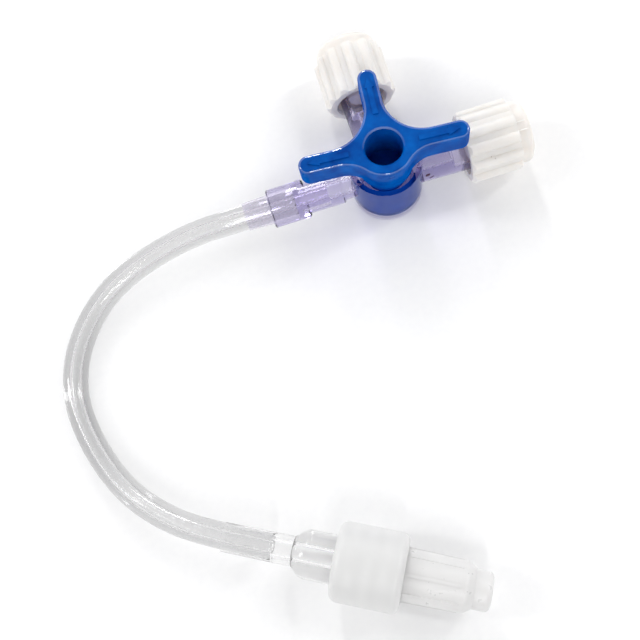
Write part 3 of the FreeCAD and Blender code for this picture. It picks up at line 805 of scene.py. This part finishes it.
for name, spot, outward in (
    ("gate_scar_left", (15.95, -4.02, 9.36), (0.0, -0.4, 0.9)),
    ("gate_scar_right", (16.45, -4.45, 9.29), (0.0, -0.27, 0.96)),
):
    bead(name, spot, outward, (0.10, 0.10, 0.05), 0.0, "line_cap", "white_cap", scar)

BOSS_START, BOSS_RADIUS = 21.0, 4.95
for name, degrees, reach in (
    ("witness_line_first", -5.0, 0.72),
    ("witness_line_second", -21.0, 0.80),
):
    across, upward = math.sin(math.radians(degrees)), math.cos(math.radians(degrees))
    middle = (BOSS_START + reach, BOSS_RADIUS * across, AXIS_HEIGHT + BOSS_RADIUS * upward)
    bead(name, middle, (0.0, across, upward), (reach, 0.10, 0.07), 0.0,
         "line_cap", "white_cap", witness)

# %% [markdown]
# ## The table
#
# The table is one wide pale plane that fades into a plain backdrop, like paper
# swept up behind the part. A curved sheet would do it too, but it shows a grey
# band where it bends. Here the fade is a mix toward plain white by distance, and
# only for what the camera sees itself or through clear plastic, so the table
# still takes the part's shadow and still lights it from below.

# %% Table
TABLE_SIZE = 6.0
PAPER_SHADES = (0.93, 0.93, 0.935), (0.95, 0.95, 0.95)
BACKDROP = (0.97, 0.97, 0.972, 1.0)
FADE_START, FADE_END = 0.30, 0.90


def seen_directly(tree):
    # 1 for what the camera sees itself or through clear plastic.
    path = tree.nodes.new("ShaderNodeLightPath").outputs
    return combined(tree, "MAXIMUM", path["Is Camera Ray"], path["Is Transmission Ray"])


def paper_finish():
    finish, tree, shader = new_finish("pale_table")
    fleck = spread(tree, grain(tree, 900.0, 2.0), 0.0, 1.0)
    tree.links.new(shades(tree, fleck, *PAPER_SHADES), shader.inputs["Base Color"])
    shader.inputs["Roughness"].default_value = 0.8
    shader.inputs["Specular IOR Level"].default_value = 0.1
    away = tree.nodes.new("ShaderNodeVectorMath")
    away.operation = "LENGTH"
    where = tree.nodes.new("ShaderNodeTexCoord")
    tree.links.new(where.outputs["Object"], away.inputs[0])
    fade = spread(tree, away.outputs["Value"], 0.0, 1.0, FADE_START, FADE_END)
    plain = tree.nodes.new("ShaderNodeEmission")
    plain.inputs["Color"].default_value = BACKDROP
    far_share = combined(tree, "MULTIPLY", fade, seen_directly(tree))
    mixed(tree, far_share, shader.outputs["BSDF"], plain.outputs["Emission"])
    return finish


bpy.ops.mesh.primitive_plane_add(size=TABLE_SIZE, location=(0, 0, 0))
table = bpy.context.object
table.name = "table"
table.data.materials.append(paper_finish())
print("table:", TABLE_SIZE, "m wide")

# %% [markdown]
# ## The sky
#
# The sky is brightest in a broad ring half way up, as when soft boxes stand
# round a table. It dims toward the horizon, which draws grey edges on clear
# plastic, and toward the ceiling, which keeps the flat top of the handle a deep
# blue. A picture of a studio could light the part too, but a ramp by height has
# only six stops to tune.

# %% Sky
SKY_SHADES = [  # height as a sine, brightness
    (0.0, 0.3), (0.2, 0.53), (0.42, 1.27), (0.74, 1.27), (0.86, 0.065), (1.0, 0.01),
]
BLUISH = 1.005

world = bpy.data.worlds.new("studio_sky")
scene.world = world
world.use_nodes = True
sky = world.node_tree
direction = sky.nodes.new("ShaderNodeTexCoord")
parts = sky.nodes.new("ShaderNodeSeparateXYZ")
sky.links.new(direction.outputs["Generated"], parts.inputs["Vector"])
ramp = sky.nodes.new("ShaderNodeValToRGB")
stops = ramp.color_ramp.elements
for index, (rise, shade) in enumerate(SKY_SHADES):
    stop = stops[index] if index < 2 else stops.new(rise)
    stop.position = rise
    stop.color = (shade, shade, shade * BLUISH, 1.0)
sky.links.new(parts.outputs["Z"], ramp.inputs["Fac"])
behind = sky.nodes.new("ShaderNodeMix")
behind.data_type = "RGBA"
behind.inputs["B"].default_value = BACKDROP
sky.links.new(seen_directly(sky), behind.inputs["Factor"])
sky.links.new(ramp.outputs["Color"], behind.inputs["A"])
sky.links.new(behind.outputs["Result"], sky.nodes["Background"].inputs["Color"])
print("sky:", len(stops), "shades")

# %% [markdown]
# ## The lamps
#
# Four tall, narrow strip boxes stand round the part. Each lies where a long top
# edge of the handle mirrors it to the camera, so the edges get thin bright lines
# that the wavy surface breaks into dashes. One large box would give softer light
# but no such lines. Strips and sky together reach a plain level, at which a
# colour renders about as it is written.

# %% Lamps
LAMPS = [
    # heading and height in degrees, watts
    ("strip_behind", 88.0, 31.0, 2.1),
    ("strip_left", 158.0, 37.0, 1.8),
    ("strip_right", 14.0, 41.0, 1.6),
    ("strip_front", 262.0, 51.0, 1.4),
]
STRIP_WIDTH, STRIP_HEIGHT = 0.09, 0.40

for name, heading, height, watts in LAMPS:
    box = bpy.data.lights.new(name, "AREA")
    box.shape = "RECTANGLE"
    box.size, box.size_y = STRIP_WIDTH, STRIP_HEIGHT
    box.energy = watts
    heading, height = math.radians(heading), math.radians(height)
    level = math.cos(height)
    away = Vector((math.cos(heading) * level, math.sin(heading) * level, math.sin(height)))
    lamp = placed(name, box)
    lamp.matrix_world = along_axis(TARGET + away, away)
    print(name, "at", [round(c, 3) for c in TARGET + away])

# %% [markdown]
# ## Light paths
#
# A ray crosses many skins where clear parts stand one behind another. With the
# usual twelve bounces it would stop inside and leave a black spot, so both
# limits are raised.

# %% View and light paths
MOST_BOUNCES = 24
scene.view_settings.view_transform = "Standard"
scene.cycles.max_bounces = scene.cycles.transmission_bounces = MOST_BOUNCES
print("most bounces:", scene.cycles.max_bounces)
